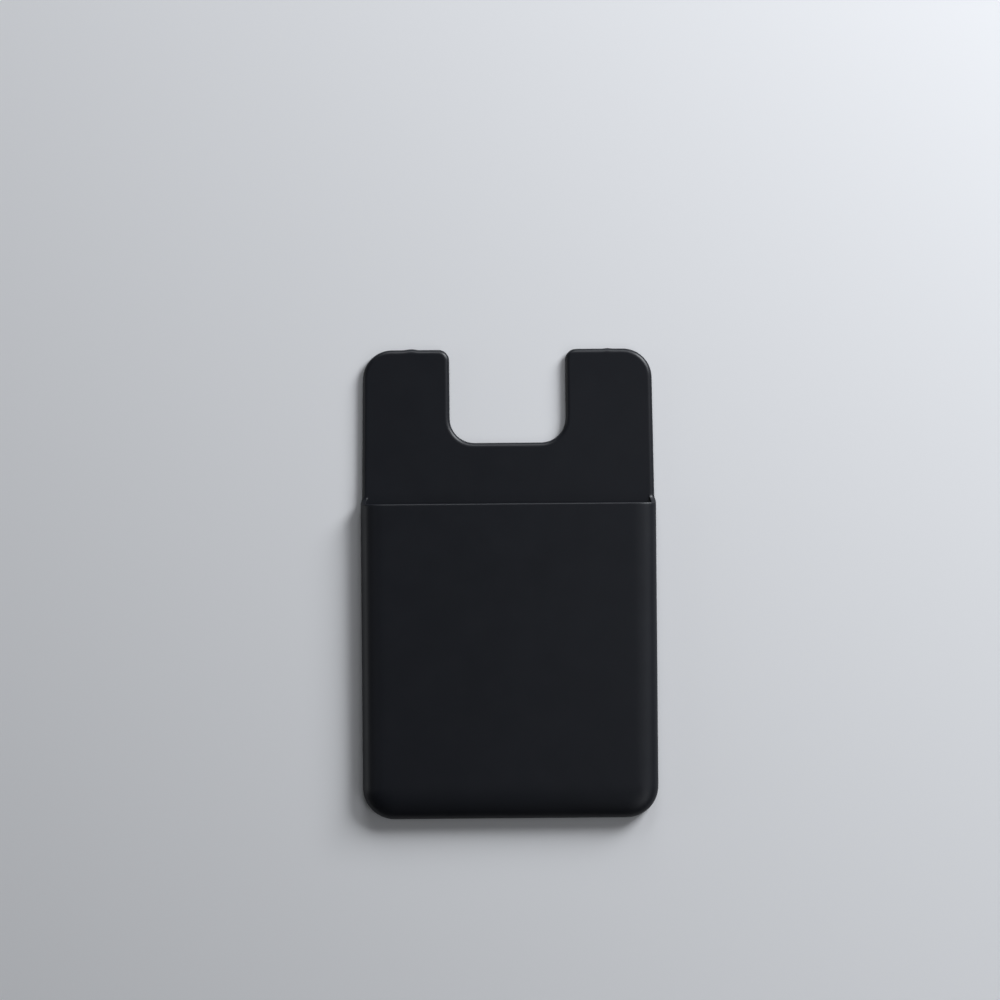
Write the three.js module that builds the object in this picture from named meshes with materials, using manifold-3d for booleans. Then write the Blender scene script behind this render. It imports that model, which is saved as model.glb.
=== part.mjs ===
// A slim stick-on sleeve: one soft moulding with a back plate, two horns and a closed pocket,
// and the sheet of adhesive on its back. Millimetres, +Z out of the front, +Y towards the horns.
// The origin is on the adhesive's open face, under the middle of the sleeve.

import * as THREE from 'three';
import { mergeVertices } from 'three/addons/utils/BufferGeometryUtils.js';
import Module from 'manifold-3d';

const wasm = await Module();
wasm.setup();

// Plan of the sleeve
const sleeveLength = 95.4;
const pocketWidth = 60.1;
const pocketLength = 64.1;
const bottomCornerRadius = 6.4;
const plateWidthAtMouth = 59.5;
const plateWidthAtTop = 58.8;
const topCornerRadius = 5.9;

// Notch between the horns
const notchWidth = 23.6;
const notchDepth = 19;
const notchFloorRadius = 5;
const hornTipRadius = 2.2;

// Thicknesses, from the back to the front
const padThickness = 0.4;
const plateThickness = 1.2;
const slotHeight = 1.6;
const panelThickness = 1.1;

// Walls beside and below the slot
const sideWall = 1;
const bottomWall = 3;
const slotSideHeight = 0.3;

// Rounded edges
const backEdgeRadius = 0.2;
const plateEdgeRadius = 0.95;
const lipFrontRadius = 0.35;
const lipBackRadius = 0.25;

// The swell that the panel rises through from the side walls and the bottom
const swellHeight = 2.8;
const swellReachAtSides = 5;
const swellReachAtBottom = 7.5;
const swellCornerRadius = 1;

// Powers of the swell's superellipse: along the panel, and up from the wall
const swellPowerAlong = 2.5;
const swellPowerUp = 2;

// The ends of the side walls run down to the plate in a hollow ramp in front of the mouth
const rampLength = 2;
const rampSink = 0.2;

// Margin of bare plate round the adhesive
const padMargin = 1.2;

// Low marks on the horns' tops where the moulding was trimmed: how far each lies outside the middle
// of its horn's top, and how wide it is
const trimMarkHeight = 0.2;
const leftTrimMark = { offset: 0.75, width: 3.4 };
const rightTrimMark = { offset: 1.55, width: 1.1 };

// Facets
const swellSteps = 13;
const edgeSteps = 6;
const lipSteps = 4;
const cornerSteps = 12;
const rampSteps = 8;
const arcDivisions = 7;
const markSteps = 6;

// Levels and lines that follow from the sizes
const backLevel = padThickness;
const plateLevel = backLevel + plateThickness;
const ceilingLevel = plateLevel + slotHeight;
const frontLevel = ceilingLevel + panelThickness;
const bottomLine = -(sleeveLength + trimMarkHeight) / 2;
const topLine = bottomLine + sleeveLength;
const mouthLine = bottomLine + pocketLength;
const pocketHalf = pocketWidth / 2;
const plateSetback = (pocketWidth - plateWidthAtMouth) / 2;
const plateRound = Math.min(plateEdgeRadius, plateThickness - backEdgeRadius);

// How far a cutting block stands clear of what it cuts, and the least radius left by an inset
const clearOfCut = 1;
const leastRadius = 0.05;
const quarter = Math.PI / 2;

// A trim mark as a low cosine bump on a horn's top edge, drawn towards -X.
function drawTrimMark(shape, middle, width, top, height) {
  for (let i = 0; i <= markSteps; i += 1) {
    const share = i / markSteps;
    shape.lineTo(middle + (0.5 - share) * width, top + height * Math.sin(Math.PI * share) ** 2);
  }
}

// Plan outline of the plate, moved inwards by inset. The notch grows as the edge shrinks. The trim
// marks have the given height. An arc draws the straight edge up to its own start.
function plateOutline(inset, markHeight) {
  const lower = plateWidthAtMouth / 2 - inset;
  const upper = plateWidthAtTop / 2 - inset;
  const bottom = bottomLine + plateSetback + inset;
  const top = topLine - inset;
  const bottomRadius = Math.max(bottomCornerRadius - plateSetback - inset, leastRadius);
  const topRadius = Math.max(topCornerRadius - inset, leastRadius);
  const tipRadius = Math.max(hornTipRadius - inset, leastRadius);
  const floorRadius = notchFloorRadius + inset;
  const notchHalf = notchWidth / 2 + inset;
  const notchFloor = topLine - notchDepth - inset;
  const hornMiddle = (notchHalf + tipRadius + upper - topRadius) / 2;

  const shape = new THREE.Shape();
  shape.moveTo(-lower + bottomRadius, bottom);
  shape.absarc(lower - bottomRadius, bottom + bottomRadius, bottomRadius, -quarter, 0, false);
  shape.lineTo(lower, mouthLine);
  shape.absarc(upper - topRadius, top - topRadius, topRadius, 0, quarter, false);
  drawTrimMark(shape, hornMiddle + rightTrimMark.offset, rightTrimMark.width, top, markHeight);
  shape.absarc(notchHalf + tipRadius, top - tipRadius, tipRadius, quarter, 2 * quarter, false);
  shape.absarc(notchHalf - floorRadius, notchFloor + floorRadius, floorRadius, 0, -quarter, true);
  shape.absarc(-notchHalf + floorRadius, notchFloor + floorRadius, floorRadius, -quarter, -2 * quarter, true);
  shape.absarc(-notchHalf - tipRadius, top - tipRadius, tipRadius, 0, quarter, false);
  drawTrimMark(shape, -hornMiddle - leftTrimMark.offset, leftTrimMark.width, top, markHeight);
  shape.absarc(-upper + topRadius, top - topRadius, topRadius, quarter, 2 * quarter, false);
  shape.lineTo(-lower, mouthLine);
  shape.absarc(-lower + bottomRadius, bottom + bottomRadius, bottomRadius, 2 * quarter, 3 * quarter, false);
  return shape;
}

// Points of the outline, without the repeated last point.
function outlinePoints(inset, markHeight) {
  const points = plateOutline(inset, markHeight).getPoints(arcDivisions);
  points.pop();
  return points;
}

function geometryFrom(positions, indices) {
  const geometry = new THREE.BufferGeometry();
  geometry.setAttribute('position', new THREE.Float32BufferAttribute(positions, 3));
  geometry.setIndex(indices);
  return geometry;
}

// A slab whose edge follows a list of { inset, level } steps from the back face to the front face.
function slab(steps, markHeight) {
  const rings = steps.map((step) => outlinePoints(step.inset, markHeight));
  const count = rings[0].length;
  const positions = rings.flatMap((ring, i) => ring.flatMap((point) => [point.x, point.y, steps[i].level]));
  const indices = [];
  for (let ring = 0; ring < rings.length - 1; ring += 1) {
    for (let i = 0; i < count; i += 1) {
      const a = ring * count + i;
      const b = ring * count + (i + 1) % count;
      indices.push(a, b, b + count, a, b + count, a + count);
    }
  }
  const last = (rings.length - 1) * count;
  for (const [a, b, c] of THREE.ShapeUtils.triangulateShape(rings[0], [])) {
    indices.push(c, b, a);
  }
  for (const [a, b, c] of THREE.ShapeUtils.triangulateShape(rings[rings.length - 1], [])) {
    indices.push(a + last, b + last, c + last);
  }
  return geometryFrom(positions, indices);
}

// Closed loft through sections that are mirrored in X and follow each other towards -Y. A section
// is its right half, from the floor to the roof, as [x, y, z] points. Rungs across close both ends.
function mirroredLoft(sections) {
  const half = sections[0].length;
  const count = 2 * half;
  const positions = sections.flatMap((section) => {
    const left = section.map(([x, y, z]) => [-x, y, z]).reverse();
    return [...section, ...left].flat();
  });
  const indices = [];
  for (let s = 0; s < sections.length - 1; s += 1) {
    for (let i = 0; i < count; i += 1) {
      const a = s * count + i;
      const b = s * count + (i + 1) % count;
      indices.push(a, b, a + count, b, b + count, a + count);
    }
  }
  const last = (sections.length - 1) * count;
  for (let i = 0; i < half - 1; i += 1) {
    const j = count - 1 - i;
    indices.push(i, j, i + 1, i + 1, j, j - 1);
    indices.push(last + i, last + i + 1, last + j, last + i + 1, last + j - 1, last + j);
  }
  return geometryFrom(positions, indices);
}

// The swell as { side, bottom, level } steps: the insets from the side and from the bottom, and the
// height. It is a superellipse that leaves the wall upright and reaches the top level.
function swell({ side, bottom, wallTop, top }) {
  const steps = [];
  for (let i = 0; i <= swellSteps; i += 1) {
    const angle = quarter * (i / swellSteps);
    const along = 1 - Math.cos(angle) ** (2 / swellPowerAlong);
    const up = Math.sin(angle) ** (2 / swellPowerUp);
    steps.push({
      side: side + along * (swellReachAtSides - side),
      bottom: bottom + along * (swellReachAtBottom - bottom),
      level: wallTop + up * (top - wallTop),
    });
  }
  return steps;
}

// Plan stations of one step of the pocket's edge, from the straight side round to the bottom.
function cornerStations(step) {
  const radiusX = Math.max(bottomCornerRadius - step.side, swellCornerRadius);
  const radiusY = Math.max(bottomCornerRadius - step.bottom, swellCornerRadius);
  const centreX = pocketHalf - step.side - radiusX;
  const centreY = bottomLine + step.bottom + radiusY;
  const stations = [];
  for (let i = 0; i <= cornerSteps; i += 1) {
    const angle = quarter * (i / cornerSteps);
    stations.push([centreX + radiusX * Math.cos(angle), centreY - radiusY * Math.sin(angle), step.level]);
  }
  return stations;
}

// Sections round the corner to the bottom, one per station.
function cornerSections(steps) {
  const corners = steps.map(cornerStations);
  return corners[0].map((_, i) => corners.map((stations) => stations[i]));
}

// Height of the plate's rounded front edge at an inset from its side.
function plateLevelAt(inset) {
  const short = Math.max(plateRound - inset, 0);
  return plateLevel - plateRound + Math.sqrt(plateRound ** 2 - short ** 2);
}

// Outside of the pocket. Its front edge is rounded down towards the mouth, and in front of the mouth
// it runs on down into the plate. The mouth block then leaves only the ramps of the side walls.
function pocketBlock() {
  const wallFoot = backLevel + backEdgeRadius;
  const steps = [
    { side: backEdgeRadius, bottom: backEdgeRadius, level: backLevel },
    { side: 0, bottom: 0, level: wallFoot },
    ...swell({ side: 0, bottom: 0, wallTop: frontLevel - swellHeight, top: frontLevel }),
  ];
  const sections = [];
  for (let i = 0; i < rampSteps; i += 1) {
    const out = 1 - i / rampSteps;
    const narrowing = (plateSetback + rampSink) * out * out * (3 - 2 * out);
    sections.push(steps.map((step) => {
      const foot = Math.max(plateLevelAt(step.side) - rampSink, wallFoot);
      const level = foot + (1 - out) ** 2 * (step.level - lipFrontRadius - foot);
      return [
        pocketHalf - step.side - narrowing,
        mouthLine + out * rampLength,
        step.level > wallFoot ? level : step.level,
      ];
    }));
  }
  for (let i = 0; i <= lipSteps; i += 1) {
    const angle = quarter * (i / lipSteps);
    const line = mouthLine - lipFrontRadius * (1 - Math.cos(angle));
    const drop = lipFrontRadius * (1 - Math.sin(angle));
    sections.push(steps.map((step) => [
      pocketHalf - step.side,
      line,
      step.level > wallFoot ? step.level - drop : step.level,
    ]));
  }
  return mirroredLoft([...sections, ...cornerSections(steps)]);
}

// The slot, which keeps the panel's thickness under the swell and opens round the lip's back edge.
function slotBlock() {
  const wallTop = plateLevel + slotSideHeight;
  const steps = [
    { side: sideWall, bottom: bottomWall, level: plateLevel },
    ...swell({ side: sideWall, bottom: bottomWall, wallTop, top: ceilingLevel }),
  ];
  const section = (line, raise) => steps.map((step) => {
    const share = Math.max(step.level - wallTop, 0) / (ceilingLevel - wallTop);
    return [pocketHalf - step.side, line, step.level + raise * share];
  });
  const sections = [section(mouthLine + clearOfCut, lipBackRadius)];
  for (let i = 0; i <= lipSteps; i += 1) {
    const angle = quarter * (i / lipSteps);
    sections.push(section(
      mouthLine - lipBackRadius * (1 - Math.cos(angle)),
      lipBackRadius * (1 - Math.sin(angle)),
    ));
  }
  return mirroredLoft([...sections, ...cornerSections(steps)]);
}

// What is cut away in front of the lip, between the side walls.
function mouthBlock() {
  const width = pocketWidth - 2 * sideWall;
  const reach = rampLength + clearOfCut;
  const height = frontLevel + clearOfCut - plateLevel;
  const block = new THREE.BoxGeometry(width, reach, height);
  block.translate(0, mouthLine + reach / 2, plateLevel + height / 2);
  return block;
}

// The back plate with its horns: a small round at the back and a large one at the front.
function plateBlock() {
  const steps = [
    { inset: backEdgeRadius, level: backLevel },
    { inset: 0, level: backLevel + backEdgeRadius },
  ];
  for (let i = 0; i <= edgeSteps; i += 1) {
    const angle = quarter * (i / edgeSteps);
    steps.push({
      inset: plateRound * (1 - Math.cos(angle)),
      level: plateLevel - plateRound * (1 - Math.sin(angle)),
    });
  }
  return slab(steps, trimMarkHeight);
}

// A closed triangle mesh as a solid that can be joined and cut.
function solidOf(geometry) {
  geometry.deleteAttribute('normal');
  geometry.deleteAttribute('uv');
  const merged = mergeVertices(geometry);
  return new wasm.Manifold(new wasm.Mesh({
    numProp: 3,
    vertProperties: new Float32Array(merged.attributes.position.array),
    triVerts: new Uint32Array(merged.index.array),
  }));
}

function bodyGeometry() {
  const body = solidOf(plateBlock())
    .add(solidOf(pocketBlock()))
    .subtract(solidOf(slotBlock()))
    .subtract(solidOf(mouthBlock()));
  const mesh = body.getMesh();
  return geometryFrom(Array.from(mesh.vertProperties), Array.from(mesh.triVerts));
}

function padGeometry() {
  return slab([
    { inset: padMargin, level: 0 },
    { inset: padMargin, level: padThickness },
  ], 0);
}

function part(name, geometry, look) {
  const mesh = new THREE.Mesh(geometry, new THREE.MeshStandardMaterial(look));
  mesh.name = name;
  return mesh;
}

const group = new THREE.Group();
group.add(part('sleeve_body', bodyGeometry(), { color: 0x1c1d20, roughness: 0.7, metalness: 0 }));
group.add(part('adhesive_pad', padGeometry(), { color: 0xd9d7cf, roughness: 0.45, metalness: 0 }));

export default group;
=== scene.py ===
"""Looks of a slim stick-on sleeve: one soft black moulding and the sheet of adhesive behind it.

Everything is in metres, with +Z out of the front and +Y towards the two horns. The overall sizes
come from the frame. The others are the driving sizes of the moulding, each written once.
"""

import logging
import math
from collections.abc import Callable
from dataclasses import dataclass
from enum import Enum

import bpy
import numpy as np
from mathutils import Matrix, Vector


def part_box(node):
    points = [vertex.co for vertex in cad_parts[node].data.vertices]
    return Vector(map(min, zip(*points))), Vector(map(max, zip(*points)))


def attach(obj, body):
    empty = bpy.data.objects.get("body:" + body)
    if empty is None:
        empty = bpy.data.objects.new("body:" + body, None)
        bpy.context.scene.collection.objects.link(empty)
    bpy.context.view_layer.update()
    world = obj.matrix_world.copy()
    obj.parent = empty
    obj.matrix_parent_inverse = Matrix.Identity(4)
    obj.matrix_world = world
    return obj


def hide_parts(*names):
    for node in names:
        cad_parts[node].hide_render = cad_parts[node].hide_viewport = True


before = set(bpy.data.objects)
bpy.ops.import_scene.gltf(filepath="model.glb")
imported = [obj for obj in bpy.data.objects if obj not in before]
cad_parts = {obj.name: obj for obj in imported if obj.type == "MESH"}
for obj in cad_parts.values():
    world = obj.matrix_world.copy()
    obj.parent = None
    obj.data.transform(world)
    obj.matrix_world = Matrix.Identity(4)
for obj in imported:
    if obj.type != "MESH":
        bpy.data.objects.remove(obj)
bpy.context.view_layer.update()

MM = 0.001
QUARTER = math.pi / 2
WELD = 1e-7
POCKET_LENGTH = 64.1 * MM
MARK_HEIGHT = 0.2 * MM
BODY = "root"

log = logging.getLogger("sleeve")


class Facing(Enum):
    """Which way a grid of points shows its outer side."""

    ALONG = False
    AGAINST = True


def spread(steps: int) -> np.ndarray:
    """Even shares from 0 to 1, one more than the steps between them."""
    return np.linspace(0.0, 1.0, steps + 1)


def blend(start: np.ndarray, end: np.ndarray, share: np.ndarray) -> np.ndarray:
    """Values between start and end: start plus the share of their difference."""
    return start + (end - start) * share


def soft_max(first: np.ndarray, second: float, width: float) -> np.ndarray:
    """The larger of two values, with the corner between them rounded over about that width."""
    return (first + second + np.sqrt((first - second) ** 2 + width**2)) / 2


def line(start: np.ndarray, end: np.ndarray, steps: int) -> np.ndarray:
    """Stations along a straight stretch, for many rows at once.

    Args:
        start: Plan points where the stretch begins, one for each row.
        end: Plan points where it ends, one for each row.
        steps: Steps along the stretch.

    Returns:
        Plan points by station and row.
    """
    return blend(start[None], end[None], spread(steps)[:, None, None])


def turn(centre: np.ndarray, radii: np.ndarray, first: float, last: float, steps: int) -> np.ndarray:
    """Stations round an arc: centre plus the radii times the cosine and sine of the angle.

    Args:
        centre: Centres of the arcs, one plan point for each row.
        radii: Radii along X and Y, one pair for each row.
        first: Angle at the first station, in quarter turns.
        last: Angle at the last station, in quarter turns.
        steps: Steps round the arc.

    Returns:
        Plan points by station and row.
    """
    angle = QUARTER * blend(first, last, spread(steps))
    way = np.stack([np.cos(angle), np.sin(angle)], axis=-1)
    return centre[None] + radii[None] * way[:, None]


def chain(*stretches: np.ndarray) -> np.ndarray:
    """Joins stretches end to end. Each starts on the last station of the one before it."""
    return np.concatenate([stretches[0], *(stretch[1:] for stretch in stretches[1:])])


def plan(x: np.ndarray | float, y: np.ndarray | float) -> np.ndarray:
    """Plan points from X and Y values of like shape, or of one value for all."""
    return np.stack(np.broadcast_arrays(x, y), axis=-1).astype(float)


def raise_to(points: np.ndarray, level: np.ndarray | float) -> np.ndarray:
    """Plan points with a height each."""
    height = np.broadcast_to(level, points.shape[:-1])
    return np.concatenate([points, height[..., None]], axis=-1)


class Skin:
    """Grids of points that meet along their edges, and are welded into one closed mesh."""

    def __init__(self) -> None:
        """Starts with no grid."""
        self.points: list[np.ndarray] = []
        self.quads: list[np.ndarray] = []
        self.count = 0

    def add(self, grid: np.ndarray, facing: Facing) -> None:
        """Adds the right half's grid and its mirror image in X.

        Each cell is one quad. The mirror image has its quads wound the other way.

        Args:
            grid: Points by first and second parameter.
            facing: ALONG if the first direction crossed with the second points outwards.
        """
        rows, columns = grid.shape[:2]
        index = np.arange(rows * columns).reshape(rows, columns)
        ring = [index[:-1, :-1], index[1:, :-1], index[1:, 1:], index[:-1, 1:]]
        quads = np.stack(ring, axis=-1).reshape(-1, 4)
        flat = grid.reshape(-1, 3)
        for points, turned in ((flat, facing.value), (flat * (-1, 1, 1), not facing.value)):
            wound = quads[:, ::-1] if turned else quads
            self.points.append(points)
            self.quads.append(wound + self.count)
            self.count += len(points)

    def change(self, moved: Callable[[np.ndarray], np.ndarray]) -> None:
        """Moves every point by a function of its place, so that points that met still meet."""
        self.points = [moved(points) for points in self.points]

    def mesh(self, name: str) -> bpy.types.Object:
        """Welds the grids and makes the object.

        Points that round to the same place share one vertex.

        Args:
            name: The piece's name.

        Returns:
            The new object, at the origin and shaded smooth.
        """
        points = np.concatenate(self.points)
        keys = np.round(points / WELD).astype(np.int64)
        _, kept, owner = np.unique(keys, axis=0, return_index=True, return_inverse=True)
        quads = owner.reshape(-1)[np.concatenate(self.quads)]
        mesh = bpy.data.meshes.new(name)
        mesh.from_pydata(points[kept].tolist(), [], quads.tolist())
        mesh.shade_smooth()
        mesh.update()
        piece = bpy.data.objects.new(name, mesh)
        bpy.context.scene.collection.objects.link(piece)
        return piece


@dataclass(frozen=True)
class Cuts:
    """Numbers of steps along each stretch of the outline and across each surface."""

    notch_floor: int = 7
    notch_corner: int = 12
    notch_side: int = 14
    tip: int = 9
    top: int = 18
    top_corner: int = 14
    side_to_bend: int = 10
    side_to_ramp: int = 4
    ramp: int = 12
    lip: int = 5
    side: int = 34
    corner: int = 16
    across: int = 18
    back_edge: int = 2
    wall: int = 2
    front_edge: int = 10
    swell: int = 16
    lip_face: int = 4
    slot_corner: int = 3

    @property
    def tip_station(self) -> int:
        """Station where the top of a horn begins, counted from the middle of the notch."""
        return self.notch_floor + self.notch_corner + self.notch_side + self.tip

    @property
    def bend_station(self) -> int:
        """Station on the side where the horn's strip bends under the notch."""
        return self.tip_station + self.top + self.top_corner + self.side_to_bend


@dataclass(frozen=True)
class TrimMark:
    """A low mark on a horn's top edge, where the moulding was trimmed."""

    x: float
    width: float
    height: float

    def rise(self, x: np.ndarray) -> np.ndarray:
        """How far the edge rises at x: the height times the squared cosine over the width."""
        return self.height * np.cos(math.pi * np.clip((x - self.x) / self.width, -0.5, 0.5)) ** 2


@dataclass(frozen=True)
class PlateOutline:
    """Plan outline of the back plate with its notch and horns, right half."""

    top: float
    bottom: float
    pocket_width: float
    mouth: float
    cuts: Cuts
    width_at_mouth: float = 59.5 * MM
    width_at_top: float = 58.8 * MM
    top_corner: float = 5.9 * MM
    bottom_corner: float = 6.4 * MM
    notch_width: float = 23.6 * MM
    notch_depth: float = 19 * MM
    notch_corner: float = 5 * MM
    horn_tip: float = 2.2 * MM
    ramp_length: float = 2 * MM
    bend_margin: float = 2.4 * MM
    crowding: float = 0.6

    @property
    def top_shares(self) -> np.ndarray:
        """Shares along a horn's top, closer together in the middle, where the trim marks lie.

        An even share plus the crowding times the sine of its full turn, over a full turn.
        """
        share = spread(self.cuts.top)
        return share + self.crowding * np.sin(math.tau * share) / math.tau

    @property
    def setback(self) -> float:
        """How far the plate's side lies inside the pocket's side at the mouth."""
        return (self.pocket_width - self.width_at_mouth) / 2

    @property
    def ramp_foot(self) -> float:
        """Line where the side walls' ramps have run down into the plate."""
        return self.mouth + self.ramp_length

    def half_width(self, y: np.ndarray | float) -> np.ndarray | float:
        """Half of the plate's width at y: it tapers evenly from the mouth to the top corners."""
        start = self.top - self.top_corner
        share = (start - y) / (start - self.mouth)
        return blend(self.width_at_top, self.width_at_mouth, share) / 2

    def horn(self, inset: np.ndarray) -> np.ndarray:
        """Outline from the middle of the notch round a horn and down its side to the ramp's foot.

        Straight stretches and arcs follow each other, all moved inwards by the inset: convex arcs
        lose it from their radius, and the notch's concave arc gains it.

        Args:
            inset: How far each row lies inside the outline.

        Returns:
            Plan points by station and row.
        """
        cuts = self.cuts
        notch_half = self.notch_width / 2
        floor = self.top - self.notch_depth
        notch_x = notch_half - self.notch_corner
        notch_y = floor + self.notch_corner
        tip_x = notch_half + self.horn_tip
        tip_y = self.top - self.horn_tip
        corner_x = self.width_at_top / 2 - self.top_corner
        corner_y = self.top - self.top_corner
        bend = self.ramp_foot + self.bend_margin
        none = np.zeros_like(inset)
        high = self.top - inset
        grown = (self.notch_corner + inset)[:, None]
        tip = (self.horn_tip - inset)[:, None]
        shoulder = (self.top_corner - inset)[:, None]
        return chain(
            line(plan(none, floor - inset), plan(none + notch_x, floor - inset), cuts.notch_floor),
            turn(plan(none + notch_x, notch_y), grown, -1, 0, cuts.notch_corner),
            line(plan(notch_half + inset, notch_y), plan(notch_half + inset, tip_y), cuts.notch_side),
            turn(plan(none + tip_x, tip_y), tip, 2, 1, cuts.tip),
            blend(plan(tip_x, high), plan(corner_x, high), self.top_shares[:, None, None]),
            turn(plan(none + corner_x, corner_y), shoulder, 1, 0, cuts.top_corner),
            line(
                plan(self.half_width(corner_y) - inset, corner_y),
                plan(self.half_width(bend) - inset, bend),
                cuts.side_to_bend,
            ),
            line(
                plan(self.half_width(bend) - inset, bend),
                plan(self.half_width(self.ramp_foot) - inset, self.ramp_foot),
                cuts.side_to_ramp,
            ),
        )

    def whole(self, inset: np.ndarray) -> np.ndarray:
        """Outline of the plate alone, from the middle of the notch to the middle of the bottom.

        Args:
            inset: How far each row lies inside the outline.

        Returns:
            Plan points by station and row.
        """
        side = self.width_at_mouth / 2
        radius = self.bottom_corner - self.setback
        corner_x = side - radius
        corner_y = self.bottom + self.bottom_corner
        none = np.zeros_like(inset)
        low = self.bottom + self.setback + inset
        return chain(
            self.horn(inset),
            line(
                plan(self.half_width(self.ramp_foot) - inset, self.ramp_foot),
                plan(side - inset, self.mouth),
                self.cuts.ramp,
            ),
            line(plan(side - inset, self.mouth), plan(side - inset, corner_y), self.cuts.side),
            turn(plan(none + corner_x, corner_y), (radius - inset)[:, None], 0, -1, self.cuts.corner),
            line(plan(none + corner_x, low), plan(none, low), self.cuts.across),
        )

    def fill(self, skin: Skin, ring: np.ndarray, facing: Facing) -> None:
        """Fills the flat inside of a ring that goes round the horn and down to the bottom.

        One strip has straight rungs from the notch's side to the outer side, and bends under the
        notch to the middle line. Below it, straight rungs run from the side to the middle line.

        Args:
            skin: The skin that gets the grids.
            ring: Points by station, from the middle of the notch to the bottom corner's end.
            facing: ALONG for a face that looks up, AGAINST for one that looks down.
        """
        cuts = self.cuts
        tip = cuts.tip_station
        bend = cuts.bend_station
        middle = ring * (0, 1, 1)
        shares = spread(cuts.across)[:, None]
        bend_row = blend(ring[bend], middle[bend], shares)
        inner = ring[: tip + 1][::-1]
        outer = np.concatenate([ring[tip + cuts.top : bend], bend_row])
        strip = blend(inner[:, None], outer[:, None], self.top_shares[None, :, None])
        rungs = blend(ring[bend:, None], middle[bend:, None], shares[None])
        skin.add(strip, facing)
        skin.add(rungs, Facing(not facing.value))


@dataclass(frozen=True)
class Sleeve:
    """The moulding: plate, horns, side walls, swelled front panel, lip and slot in one skin."""

    outline: PlateOutline
    marks: tuple[TrimMark, ...]
    back: float
    front: float
    plate_thickness: float = 1.2 * MM
    panel_thickness: float = 1.1 * MM
    side_wall: float = 1 * MM
    bottom_wall: float = 3 * MM
    slot_side: float = 0.3 * MM
    back_radius: float = 0.2 * MM
    plate_radius: float = 0.95 * MM
    crest_inset: float = 1 * MM
    lip_front: float = 0.35 * MM
    lip_back: float = 0.25 * MM
    swell_height: float = 2.8 * MM
    reach_sides: float = 5 * MM
    reach_bottom: float = 7.5 * MM
    least_corner: float = 1 * MM
    corner_softness: float = 0.5 * MM
    power_along: float = 2.5
    ramp_sink: float = 0.12
    ramp_softness: float = 0.08
    widen_share: float = 0.65
    mark_reach: float = 1.5 * MM
    name: str = "sleeve_skin"

    @property
    def plate(self) -> float:
        """Level of the plate's front and of the slot's floor."""
        return self.back + self.plate_thickness

    @property
    def ceiling(self) -> float:
        """Level of the slot's ceiling."""
        return self.front - self.panel_thickness

    @property
    def wall_top(self) -> float:
        """Level where the side wall's outer face goes over into the swell."""
        return self.front - self.swell_height

    @property
    def half(self) -> float:
        """Half of the pocket's width."""
        return self.outline.pocket_width / 2

    def swell(self, share: np.ndarray) -> np.ndarray:
        """Height of the swell, from 0 to 1, at a share of its reach.

        It is a superellipse: the square root of one less what is left of the reach, raised to the
        power along.
        """
        left = np.clip(1 - share, 0, 1)
        return np.sqrt(np.clip(1 - left**self.power_along, 0, 1))

    def swell_shares(self, steps: int, until: float) -> np.ndarray:
        """Shares of the swell's reach that follow its curve closely near the wall.

        Args:
            steps: Steps from the wall.
            until: The last share.

        Returns:
            Shares from 0 to the last one.
        """
        power = 2 / self.power_along
        last = math.acos((1 - until) ** (1 / power))
        return 1 - np.cos(last * spread(steps)) ** power

    def rise(self) -> np.ndarray:
        """Height of the ramp at each of its stations, from 0 at the foot to 1 at the mouth.

        It is the square of the way up, lowered a little and softly cut off at the plate, so the
        foot runs out sooner than the ramp's full length.
        """
        way = spread(self.outline.cuts.ramp)
        height = way**2 * (1 + self.ramp_sink) - self.ramp_sink
        rounded = soft_max(height, 0.0, self.ramp_softness)
        return (rounded - rounded[0]) / (rounded[-1] - rounded[0])

    def edge_at_ramp(self) -> np.ndarray:
        """Half width of the outer side at each ramp station, from the plate's to the pocket's.

        It widens by a smooth step of third degree over the upper part of the ramp.
        """
        way = spread(self.outline.cuts.ramp)
        y = blend(self.outline.ramp_foot, self.outline.mouth, way)
        late = np.clip((way - 1 + self.widen_share) / self.widen_share, 0, 1)
        return blend(self.outline.half_width(y), self.half, late * late * (3 - 2 * late))

    def ramp(self, horn: np.ndarray, pocket: np.ndarray) -> np.ndarray:
        """Stations down the ramp of a side wall, where the horn's rows turn into the pocket's.

        Each row's inset and level go from the horn's to the pocket's by the ramp's rise, and the
        inset is measured from the widening side.

        Args:
            horn: Inset and level of each row on the horn.
            pocket: Inset and level of each row at the mouth.

        Returns:
            Points by station and row, from the foot to the mouth.
        """
        rise = self.rise()[:, None]
        inset = blend(horn[None, :, 0], pocket[None, :, 0], rise)
        level = blend(horn[None, :, 1], pocket[None, :, 1], rise)
        y = blend(self.outline.ramp_foot, self.outline.mouth, spread(self.outline.cuts.ramp))
        x = self.edge_at_ramp()[:, None] - inset
        return raise_to(plan(x, y[:, None]), level)

    def pocket_rim(self, side: np.ndarray, bottom: np.ndarray, lip: float) -> np.ndarray:
        """Plan of the pocket's rows, from the mouth down the side and round to the middle line.

        Over the lip the stations follow its round: they draw back by the lip's radius times one
        less the cosine. Then come the straight side, the corner and half of the bottom.

        Args:
            side: Inset of each row from the side.
            bottom: Inset of each row from the bottom.
            lip: Radius of the lip's round that these rows cross.

        Returns:
            Plan points by station and row.
        """
        outline = self.outline
        cuts = outline.cuts
        corner = outline.bottom_corner
        radius_x = soft_max(corner - side, self.least_corner, self.corner_softness)
        radius_y = soft_max(corner - bottom, self.least_corner, self.corner_softness)
        x = self.half - side
        centre_y = outline.bottom + bottom + radius_y
        back = outline.mouth - lip * (1 - np.cos(QUARTER * spread(cuts.lip)))
        low = outline.bottom + bottom
        return chain(
            plan(x[None], back[:, None]),
            line(plan(x, back[-1]), plan(x, centre_y), cuts.side),
            turn(plan(x - radius_x, centre_y), plan(radius_x, radius_y), 0, -1, cuts.corner),
            line(plan(x - radius_x, low), plan(0 * x, low), cuts.across),
        )

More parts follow.
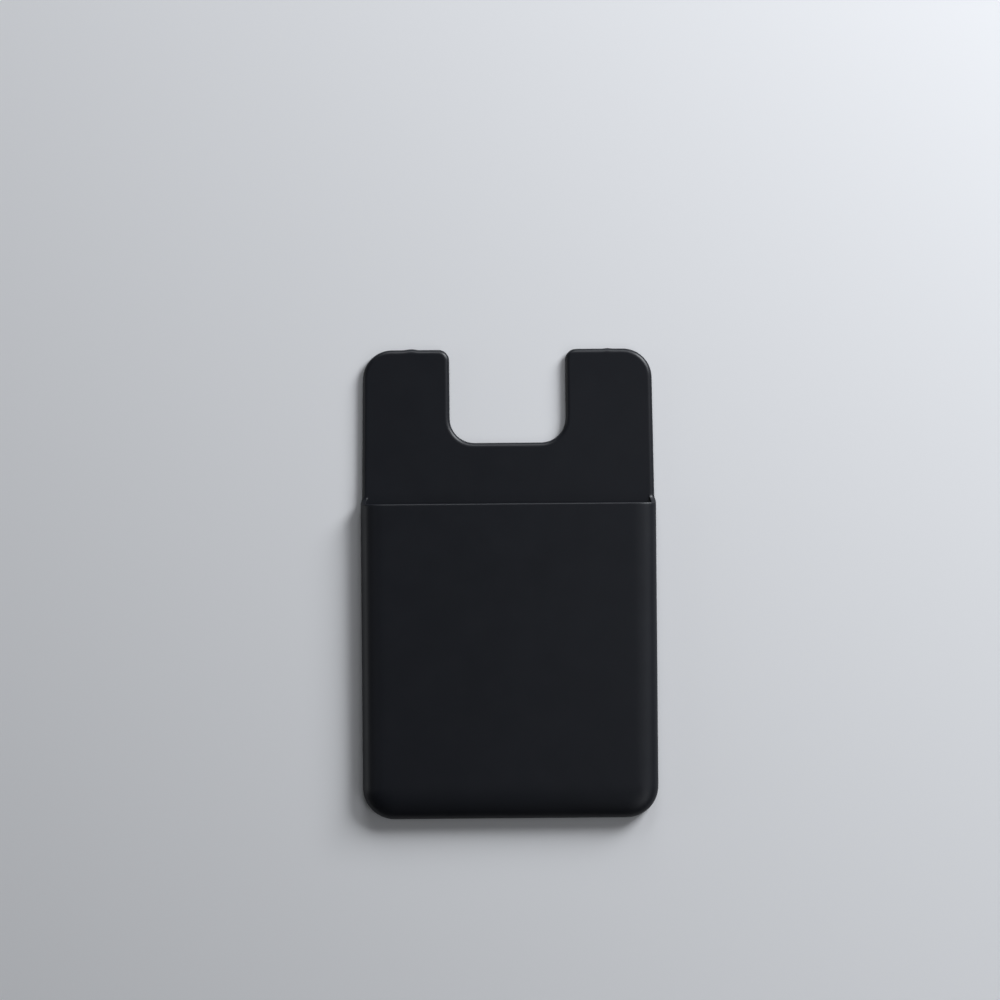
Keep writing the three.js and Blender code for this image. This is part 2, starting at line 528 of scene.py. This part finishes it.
    def lip_drop(self, stations: int, radius: float) -> np.ndarray:
        """How far the lip's round lies below the flat at each station from the mouth."""
        drop = np.zeros(stations)
        steps = self.outline.cuts.lip
        drop[: steps + 1] = radius * (1 - np.sin(QUARTER * spread(steps)))
        return drop[:, None]

    def outer_rows(self) -> tuple[np.ndarray, np.ndarray, np.ndarray]:
        """Rows of the outer skin from the back's edge up the wall to the crest.

        On the horn the front edge is a quarter round and then flat to the crest. On the pocket it
        is the outer part of the swell.

        Returns:
            Inset and level on the horn, inset and level on the pocket, and the share of the swell
            at each pocket row.
        """
        cuts = self.outline.cuts
        turned = QUARTER * spread(cuts.back_edge)
        back = plan(
            self.back_radius * (1 - np.sin(turned)),
            self.back + self.back_radius * (1 - np.cos(turned)),
        )
        foot = self.back + self.back_radius
        plate_round = self.plate - self.plate_radius
        arc = QUARTER * spread(cuts.front_edge - 1)[1:]
        horn_wall = plan(0.0, blend(foot, plate_round, spread(cuts.wall)[1:]))
        horn_edge = plan(
            self.plate_radius * (1 - np.cos(arc)),
            plate_round + self.plate_radius * np.sin(arc),
        )
        crest = plan(np.array([self.crest_inset]), self.plate)
        until = self.crest_inset / self.reach_sides
        shares = self.swell_shares(cuts.front_edge, until)[1:]
        pocket_wall = plan(0.0, blend(foot, self.wall_top, spread(cuts.wall)[1:]))
        pocket_edge = plan(
            shares * self.reach_sides,
            self.wall_top + self.swell_height * self.swell(shares),
        )
        horn = np.concatenate([back, horn_wall, horn_edge, crest])
        pocket = np.concatenate([back, pocket_wall, pocket_edge])
        share = np.concatenate([np.zeros(len(back) + cuts.wall), shares])
        return horn, pocket, share

    def mouth_rows(self) -> tuple[np.ndarray, np.ndarray]:
        """Rows of the ramp's inner face from the crest down to the floor.

        On the horn they lie flat on the plate. At the mouth they go straight down the end of the
        lip and then round the slot's corner.

        Returns:
            Inset and level on the horn, and inset and level at the mouth.
        """
        cuts = self.outline.cuts
        top = self.wall_top + self.swell_height * self.swell(
            np.array([self.crest_inset / self.reach_sides])
        )
        drop = blend(top - self.lip_front, self.plate + self.slot_side, spread(cuts.lip_face))
        corner = self.slot_corner_rows()[1:]
        mouth = np.concatenate([plan(self.side_wall, drop), corner])
        steps = cuts.lip_face + cuts.slot_corner
        flat = plan(blend(self.crest_inset, corner[-1, 0], spread(steps)), self.plate)
        return flat, mouth

    def slot_corner_rows(self) -> np.ndarray:
        """Inset and level of the hollow round from the slot's side down to its floor."""
        turned = QUARTER * spread(self.outline.cuts.slot_corner)
        return plan(
            self.side_wall + self.slot_side * (1 - np.cos(turned)),
            self.plate + self.slot_side * (1 - np.sin(turned)),
        )

    def outer_skin(self, skin: Skin) -> np.ndarray:
        """Adds the outer skin from the back's edge to the crest, all along the outline.

        Args:
            skin: The skin that gets the grid.

        Returns:
            The ring of the back's edge, by station.
        """
        horn, pocket, share = self.outer_rows()
        above_foot = pocket[:, 1] > self.back + self.back_radius
        at_mouth = pocket - plan(0.0, np.where(above_foot, self.lip_front, 0.0))
        rim = self.pocket_rim(pocket[:, 0], self.bottom_inset(pocket[:, 0], share), self.lip_front)
        drop = self.lip_drop(len(rim), self.lip_front) * above_foot
        grid = chain(
            raise_to(self.outline.horn(horn[:, 0]), horn[:, 1]),
            self.ramp(horn, at_mouth),
            raise_to(rim, pocket[:, 1] - drop),
        )
        skin.add(grid, Facing.AGAINST)
        return grid[:, 0]

    def bottom_inset(self, side: np.ndarray, share: np.ndarray) -> np.ndarray:
        """Inset from the bottom: the inset from the side below the swell, and then a longer one."""
        return np.where(share > 0, share * self.reach_bottom, side)

    def panel_rows(self) -> tuple[np.ndarray, np.ndarray, np.ndarray]:
        """Rows across the panel from the crest to its flat, shared by its front and its back.

        Returns:
            Inset from the side, inset from the bottom in front, and inset from the bottom inside.
        """
        share = self.swell_shares(self.outline.cuts.swell, 1.0)
        side = blend(self.side_wall, self.reach_sides, share)
        bottom = side / self.reach_sides * self.reach_bottom
        inside = blend(self.bottom_wall, self.reach_bottom, share)
        return side, bottom, inside

    def panel_skin(self, skin: Skin) -> np.ndarray:
        """Adds the front of the panel: the inner part of the swell and the flat.

        Args:
            skin: The skin that gets the grids.

        Returns:
            Points along the front edge of the mouth, from the side wall to the middle line.
        """
        side, bottom, _ = self.panel_rows()
        level = self.wall_top + self.swell_height * self.swell(side / self.reach_sides)
        rim = self.pocket_rim(side, bottom, self.lip_front)
        drop = self.lip_drop(len(rim), self.lip_front)
        grid = raise_to(rim, level - drop)
        flat = self.flat(grid)
        skin.add(grid, Facing.AGAINST)
        skin.add(flat, Facing.AGAINST)
        return np.concatenate([grid[0], flat[0, 1:]])

    def flat(self, grid: np.ndarray) -> np.ndarray:
        """Straight rungs from a grid's last row to the middle line, down to the corner's end."""
        cuts = self.outline.cuts
        edge = grid[: len(grid) - cuts.across, -1]
        return blend(edge[:, None], (edge * (0, 1, 1))[:, None], spread(cuts.across)[None, :, None])

    def slot_skin(self, skin: Skin) -> tuple[np.ndarray, np.ndarray]:
        """Adds the slot's ceiling and the hollow round down to its floor.

        Args:
            skin: The skin that gets the grids.

        Returns:
            Points along the back edge of the lip, and the ring of the floor by station.
        """
        side, _, inside = self.panel_rows()
        share = (side - self.side_wall) / (self.reach_sides - self.side_wall)
        rise = self.swell(share)
        wall_top = self.plate + self.slot_side
        level = blend(wall_top, self.ceiling, rise)
        rim = self.pocket_rim(side, inside, self.lip_back)
        grid = raise_to(rim, level + self.lip_drop(len(rim), self.lip_back) * rise)
        flat = self.flat(grid)
        corner = self.slot_corner_rows()
        deeper = corner[:, 0] - self.side_wall + self.bottom_wall
        foot = raise_to(self.pocket_rim(corner[:, 0], deeper, self.lip_back), corner[:, 1])
        skin.add(grid, Facing.ALONG)
        skin.add(flat, Facing.ALONG)
        skin.add(foot, Facing.AGAINST)
        return np.concatenate([grid[0], flat[0, 1:]]), foot[:, -1]

    def with_marks(self, points: np.ndarray) -> np.ndarray:
        """Points with the horns' tops raised at the trim marks.

        The whole rounded edge moves with its mark. Behind it, on the flat, the move runs out by a
        smooth step of third degree.

        Args:
            points: Points of the plain skin.

        Returns:
            The same points, moved along Y near the marks.
        """
        behind = (self.outline.top - self.crest_inset - points[:, 1]) / self.mark_reach
        left = np.clip(1 - behind, 0, 1)
        rise = sum(mark.rise(points[:, 0]) for mark in self.marks)
        moved = points.copy()
        moved[:, 1] += rise * left * left * (3 - 2 * left)
        return moved

    def build(self) -> bpy.types.Object:
        """Builds the whole moulding as one closed mesh.

        Returns:
            The finished piece.
        """
        skin = Skin()
        cuts = self.outline.cuts
        back_ring = self.outer_skin(skin)
        front_edge = self.panel_skin(skin)
        back_edge, floor_ring = self.slot_skin(skin)
        horn, mouth = self.mouth_rows()
        inner_face = chain(
            raise_to(self.outline.horn(horn[:, 0]), horn[:, 1]),
            self.ramp(horn, mouth),
        )
        lip = blend(front_edge[:, None], back_edge[:, None], spread(cuts.lip_face)[None, :, None])
        skin.add(inner_face, Facing.AGAINST)
        skin.add(lip, Facing.AGAINST)
        floor = chain(inner_face[:, -1], floor_ring)[: -cuts.across]
        self.outline.fill(skin, floor, Facing.ALONG)
        self.outline.fill(skin, back_ring[: -cuts.across], Facing.AGAINST)
        skin.change(self.with_marks)
        piece = skin.mesh(self.name)
        smooth(piece, 1)
        return piece


@dataclass(frozen=True)
class AdhesiveSheet:
    """The die-cut sheet of adhesive on the back of the plate."""

    outline: PlateOutline
    bottom: float
    top: float
    margin: float = 1.2 * MM
    edge: float = 0.05 * MM
    name: str = "adhesive_sheet"

    def build(self) -> bpy.types.Object:
        """Builds the sheet: its cut edge all round, and its two flat faces.

        The edge goes up from the open face in four rows, with a small round at the open face.

        Returns:
            The finished piece.
        """
        skin = Skin()
        soft = self.edge / 2
        inset = self.margin + np.array([self.edge, soft / 2, 0.0, 0.0, 0.0])
        level = np.array([0.0, soft / 2, self.edge, self.top - self.edge, self.top])
        grid = raise_to(self.outline.whole(inset), self.bottom + level)
        skin.add(grid, Facing.AGAINST)
        across = self.outline.cuts.across
        self.outline.fill(skin, grid[:-across, 0], Facing.AGAINST)
        self.outline.fill(skin, grid[:-across, -1], Facing.ALONG)
        return skin.mesh(self.name)


def smooth(piece: bpy.types.Object, levels: int) -> None:
    """Adds a subdivision surface with the same levels in the view and in the render."""
    modifier = piece.modifiers.new("Smooth", "SUBSURF")
    modifier.levels = levels
    modifier.render_levels = levels


class Nodes:
    """A material's node tree, with short ways to add and join nodes."""

    def __init__(self, name: str) -> None:
        """Makes an empty material with an output.

        Args:
            name: The material's name.
        """
        self.material = bpy.data.materials.new(name)
        self.material.use_nodes = True
        self.tree = self.material.node_tree
        self.tree.nodes.clear()
        self.output = self.tree.nodes.new("ShaderNodeOutputMaterial")
        self.place = self.tree.nodes.new("ShaderNodeTexCoord").outputs["Object"]

    def add(self, kind: str, **values: float | str | tuple) -> bpy.types.Node:
        """Adds a node and sets it up.

        Args:
            kind: The node's type.
            values: Its properties, or the values of its inputs by name with _ for a space.

        Returns:
            The new node.
        """
        node = self.tree.nodes.new(kind)
        for key, value in values.items():
            if hasattr(node, key):
                setattr(node, key, value)
            else:
                node.inputs[key.replace("_", " ")].default_value = value
        return node

    def join(self, source: bpy.types.NodeSocket, target: bpy.types.NodeSocket) -> None:
        """Links an output to an input."""
        self.tree.links.new(source, target)

    def noise(self, grain: float, detail: float, roughness: float) -> bpy.types.NodeSocket:
        """A noise over the object's own place.

        Args:
            grain: Size of its spots in metres.
            detail: Number of finer layers.
            roughness: Strength of the finer layers.

        Returns:
            Its value, from about 0.3 to 0.7.
        """
        node = self.add("ShaderNodeTexNoise", Scale=1 / grain, Detail=detail, Roughness=roughness)
        self.join(self.place, node.inputs["Vector"])
        return node.outputs["Fac"]

    def between(self, value: bpy.types.NodeSocket, low: float, high: float) -> bpy.types.NodeSocket:
        """Spreads a noise's middle range evenly over low to high."""
        node = self.add("ShaderNodeMapRange", From_Min=0.3, From_Max=0.7, To_Min=low, To_Max=high)
        self.join(value, node.inputs["Value"])
        return node.outputs["Result"]

    def tint(
        self,
        share: bpy.types.NodeSocket,
        dark: tuple[float, float, float],
        light: tuple[float, float, float],
    ) -> bpy.types.NodeSocket:
        """A colour that goes from dark to light as the share goes from 0 to 1.

        Args:
            share: The share.
            dark: The colour at 0.
            light: The colour at 1.

        Returns:
            The mixed colour.
        """
        mix = self.add("ShaderNodeMix", data_type="RGBA")
        colours = [socket for socket in mix.inputs if socket.type == "RGBA"]
        colours[0].default_value = (*dark, 1.0)
        colours[1].default_value = (*light, 1.0)
        self.join(share, mix.inputs["Factor"])
        return next(socket for socket in mix.outputs if socket.type == "RGBA")

    def bump(
        self,
        height: bpy.types.NodeSocket,
        depth: float,
        under: bpy.types.NodeSocket | None = None,
    ) -> bpy.types.NodeSocket:
        """A bump of that depth in metres, on top of another bump if one is given."""
        node = self.add("ShaderNodeBump", Strength=1.0, Distance=depth)
        self.join(height, node.inputs["Height"])
        if under is not None:
            self.join(under, node.inputs["Normal"])
        return node.outputs["Normal"]


@dataclass(frozen=True)
class Silicone:
    """Soft black silicone with the fine matt of its mould."""

    dark: tuple[float, float, float] = (0.0038, 0.0048, 0.0082)
    light: tuple[float, float, float] = (0.0047, 0.0058, 0.0096)
    least_roughness: float = 0.41
    most_roughness: float = 0.44
    ior: float = 1.5
    grain: float = 0.09 * MM
    grain_depth: float = 0.0015 * MM
    wave: float = 5 * MM
    wave_depth: float = 0.006 * MM
    cloud: float = 11 * MM
    cloud_detail: float = 3.0
    cloud_roughness: float = 0.55
    name: str = "black_silicone"

    def material(self) -> bpy.types.Material:
        """Makes the material: a mottled near-black, a matt that varies, and two bumps.

        Returns:
            The finished material.
        """
        nodes = Nodes(self.name)
        shader = nodes.add("ShaderNodeBsdfPrincipled", IOR=self.ior)
        cloud = nodes.between(nodes.noise(self.cloud, self.cloud_detail, self.cloud_roughness), 0.0, 1.0)
        nodes.join(nodes.tint(cloud, self.dark, self.light), shader.inputs["Base Color"])
        matt = nodes.between(nodes.noise(self.wave, 2.0, 0.5), self.least_roughness, self.most_roughness)
        nodes.join(matt, shader.inputs["Roughness"])
        wave = nodes.bump(nodes.noise(self.wave, 1.0, 0.4), self.wave_depth)
        grain = nodes.bump(nodes.noise(self.grain, 2.0, 0.6), self.grain_depth, wave)
        nodes.join(grain, shader.inputs["Normal"])
        nodes.join(shader.outputs["BSDF"], nodes.output.inputs["Surface"])
        return nodes.material


@dataclass(frozen=True)
class Adhesive:
    """Milky adhesive on a tissue carrier: faint fibres and small wet-looking patches."""

    dark: tuple[float, float, float] = (0.60, 0.585, 0.53)
    light: tuple[float, float, float] = (0.74, 0.72, 0.66)
    least_roughness: float = 0.24
    most_roughness: float = 0.42
    ior: float = 1.47
    fibre_turns: tuple[float, float] = (0.5, 2.1)
    fibre: float = 0.35 * MM
    fibre_length: float = 9.0
    fibre_depth: float = 0.006 * MM
    cloud: float = 3 * MM
    least_mottle: float = 0.8
    most_mottle: float = 1.3
    name: str = "adhesive_film"

    def material(self) -> bpy.types.Material:
        """Makes the material from crossed fibres, clouds of colour and a patchy gloss.

        Returns:
            The finished material.
        """
        nodes = Nodes(self.name)
        shader = nodes.add("ShaderNodeBsdfPrincipled", IOR=self.ior)
        fibres = nodes.add("ShaderNodeMath", operation="MAXIMUM")
        for slot, turned in enumerate(self.fibre_turns):
            mapping = nodes.add("ShaderNodeMapping")
            mapping.inputs["Rotation"].default_value = (0.0, 0.0, turned)
            mapping.inputs["Scale"].default_value = (1.0, 1 / self.fibre_length, 1.0)
            nodes.join(nodes.place, mapping.inputs["Vector"])
            noise = nodes.add("ShaderNodeTexNoise", Scale=1 / self.fibre, Detail=2.0, Roughness=0.6)
            nodes.join(mapping.outputs["Vector"], noise.inputs["Vector"])
            nodes.join(noise.outputs["Fac"], fibres.inputs[slot])
        cloud = nodes.noise(self.cloud, 4.0, 0.6)
        mottle = nodes.add("ShaderNodeMath", operation="MULTIPLY")
        nodes.join(fibres.outputs["Value"], mottle.inputs[0])
        nodes.join(nodes.between(cloud, self.least_mottle, self.most_mottle), mottle.inputs[1])
        milk = nodes.between(mottle.outputs["Value"], 0.0, 1.0)
        nodes.join(nodes.tint(milk, self.dark, self.light), shader.inputs["Base Color"])
        gloss = nodes.between(cloud, self.least_roughness, self.most_roughness)
        nodes.join(gloss, shader.inputs["Roughness"])
        nodes.join(nodes.bump(fibres.outputs["Value"], self.fibre_depth), shader.inputs["Normal"])
        nodes.join(shader.outputs["BSDF"], nodes.output.inputs["Surface"])
        return nodes.material


@dataclass(frozen=True)
class Lamp:
    """A square soft light, placed by its bearing from +X, its elevation and its distance."""

    name: str
    bearing: float
    elevation: float
    distance: float
    size: float
    power: float
    colour: tuple[float, float, float] = (0.93, 0.96, 1.0)

    def build(self) -> bpy.types.Object:
        """Makes the light. It looks at the object's middle.

        Returns:
            The new light.
        """
        bearing = math.radians(self.bearing)
        elevation = math.radians(self.elevation)
        level = math.cos(elevation)
        way = Vector((level * math.cos(bearing), level * math.sin(bearing), math.sin(elevation)))
        light = bpy.data.lights.new(self.name, "AREA")
        light.size = self.size
        light.energy = self.power
        light.color = self.colour
        lamp = bpy.data.objects.new(self.name, light)
        lamp.location = way * self.distance
        lamp.rotation_euler = (-way).to_track_quat("-Z", "Y").to_euler()
        bpy.context.scene.collection.objects.link(lamp)
        return lamp


@dataclass(frozen=True)
class Studio:
    """Plain pale floor and soft lights round the object, the strongest from the upper right."""

    floor_half: float = 3.0
    floor_drop: float = 0.05 * MM
    floor_colour: tuple[float, float, float] = (0.86, 0.86, 0.87)
    floor_to_object: tuple[float, float, float] = (0.50, 0.50, 0.51)
    floor_roughness: float = 0.9
    floor_specular: float = 0.2
    sky_colour: tuple[float, float, float] = (0.93, 0.93, 0.95)
    ambient: float = 0.024
    lamps: tuple[Lamp, ...] = (
        Lamp("key_light", bearing=45, elevation=25, distance=0.7, size=0.3, power=5.5),
        Lamp("top_light", bearing=90, elevation=25, distance=0.7, size=0.3, power=1.2),
        Lamp("left_light", bearing=180, elevation=12, distance=0.7, size=0.3, power=0.35),
        Lamp("high_left_light", bearing=180, elevation=62, distance=0.7, size=0.3, power=0.08),
        Lamp("right_light", bearing=0, elevation=42, distance=0.35, size=0.15, power=0.03),
        Lamp("low_right_light", bearing=-45, elevation=42, distance=0.35, size=0.15, power=0.1),
        Lamp("overhead_light", bearing=0, elevation=75, distance=0.35, size=0.15, power=0.03),
    )

    def floor(self) -> bpy.types.Object:
        """Makes the floor, a square just under the object.

        It is pale to the camera, and a mid grey in the light that it gives back to the object.

        Returns:
            The floor.
        """
        half = self.floor_half
        corners = [(-half, -half), (half, -half), (half, half), (-half, half)]
        mesh = bpy.data.meshes.new("floor")
        mesh.from_pydata([(x, y, -self.floor_drop) for x, y in corners], [], [(0, 1, 2, 3)])
        floor = bpy.data.objects.new("floor", mesh)
        bpy.context.scene.collection.objects.link(floor)
        nodes = Nodes("pale_floor")
        shader = nodes.add("ShaderNodeBsdfPrincipled", Roughness=self.floor_roughness)
        shader.inputs["Specular IOR Level"].default_value = self.floor_specular
        seen = nodes.add("ShaderNodeLightPath").outputs["Is Camera Ray"]
        nodes.join(nodes.tint(seen, self.floor_to_object, self.floor_colour), shader.inputs["Base Color"])
        nodes.join(shader.outputs["BSDF"], nodes.output.inputs["Surface"])
        mesh.materials.append(nodes.material)
        return floor

    def sky(self) -> None:
        """Makes the world: dim to the object, and pale to the camera."""
        world = bpy.data.worlds.new("studio")
        world.use_nodes = True
        tree = world.node_tree
        tree.nodes.clear()
        output = tree.nodes.new("ShaderNodeOutputWorld")
        dim = tree.nodes.new("ShaderNodeBackground")
        pale = tree.nodes.new("ShaderNodeBackground")
        path = tree.nodes.new("ShaderNodeLightPath")
        mix = tree.nodes.new("ShaderNodeMixShader")
        for background, strength in ((dim, self.ambient), (pale, 1.0)):
            background.inputs["Color"].default_value = (*self.sky_colour, 1.0)
            background.inputs["Strength"].default_value = strength
        tree.links.new(path.outputs["Is Camera Ray"], mix.inputs["Fac"])
        tree.links.new(dim.outputs["Background"], mix.inputs[1])
        tree.links.new(pale.outputs["Background"], mix.inputs[2])
        tree.links.new(mix.outputs["Shader"], output.inputs["Surface"])
        bpy.context.scene.world = world

    def build(self) -> None:
        """Makes the floor, the sky and the lights."""
        self.floor()
        self.sky()
        for lamp in self.lamps:
            lamp.build()


@dataclass(frozen=True)
class PhotoView:
    """The camera straight above the object, with a long lens."""

    frame_pixels: float = 1000
    pixel_size: float = 0.2032 * MM
    middle_x_pixel: float = 509.0
    middle_y_pixel: float = 583.35
    lean_degrees: float = 0.48
    distance: float = 0.8
    clip_ratio: float = 100
    sensor: float = 36.0
    name: str = "photo_camera"

    def build(self) -> bpy.types.Object:
        """Places the camera so that the object's middle falls on its pixel.

        The camera's turn about its own axis is the opposite of the object's lean in the picture.
        The distance and the pixel's size hold at the middle of the sleeve's height.

        Returns:
            The scene's camera.
        """
        data = bpy.data.cameras.new(self.name)
        camera = bpy.data.objects.new(self.name, data)
        lean = math.radians(self.lean_degrees)
        right = Vector((math.cos(lean), -math.sin(lean), 0))
        up = Vector((math.sin(lean), math.cos(lean), 0))
        across = (self.middle_x_pixel - self.frame_pixels / 2) * self.pixel_size
        down = (self.middle_y_pixel - self.frame_pixels / 2) * self.pixel_size
        low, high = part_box("sleeve_body")
        height = self.distance + (low.z + high.z) / 2
        camera.location = up * down - right * across + Vector((0, 0, height))
        camera.rotation_euler = (0, 0, -lean)
        data.sensor_width = self.sensor
        data.lens = self.sensor * self.distance / (self.frame_pixels * self.pixel_size)
        data.clip_start = self.distance / self.clip_ratio
        data.clip_end = self.distance * self.clip_ratio
        bpy.context.scene.collection.objects.link(camera)
        bpy.context.scene.camera = camera
        return camera


def dress(piece: bpy.types.Object, material: bpy.types.Material, node: str) -> None:
    """Gives a piece its finish, and lets it stand for its CAD node and ride with the body.

    Args:
        piece: The piece.
        material: Its finish.
        node: The CAD node that it stands for.
    """
    piece.data.materials.append(material)
    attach(piece, BODY)
    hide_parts(node)
    log.info("%s: %d faces before smoothing, for %s", piece.name, len(piece.data.polygons), node)


def main() -> None:
    """Builds the sleeve, its adhesive, the studio and the camera."""
    logging.basicConfig(level=logging.INFO, format="%(name)s: %(message)s")
    low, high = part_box("sleeve_body")
    pad_low, pad_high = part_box("adhesive_pad")
    marks = (
        TrimMark(x=-19.5 * MM, width=3.4 * MM, height=MARK_HEIGHT),
        TrimMark(x=20.3 * MM, width=1.1 * MM, height=MARK_HEIGHT),
    )
    outline = PlateOutline(
        top=high.y - MARK_HEIGHT,
        bottom=low.y,
        pocket_width=high.x - low.x,
        mouth=low.y + POCKET_LENGTH,
        cuts=Cuts(),
    )
    sleeve = Sleeve(outline=outline, marks=marks, back=low.z, front=high.z)
    sheet = AdhesiveSheet(outline=outline, bottom=pad_low.z, top=pad_high.z - pad_low.z)
    dress(sleeve.build(), Silicone().material(), "sleeve_body")
    dress(sheet.build(), Adhesive().material(), "adhesive_pad")
    Studio().build()
    PhotoView().build()
    bpy.context.scene.view_settings.view_transform = "Standard"


if __name__ == "__main__":
    main()
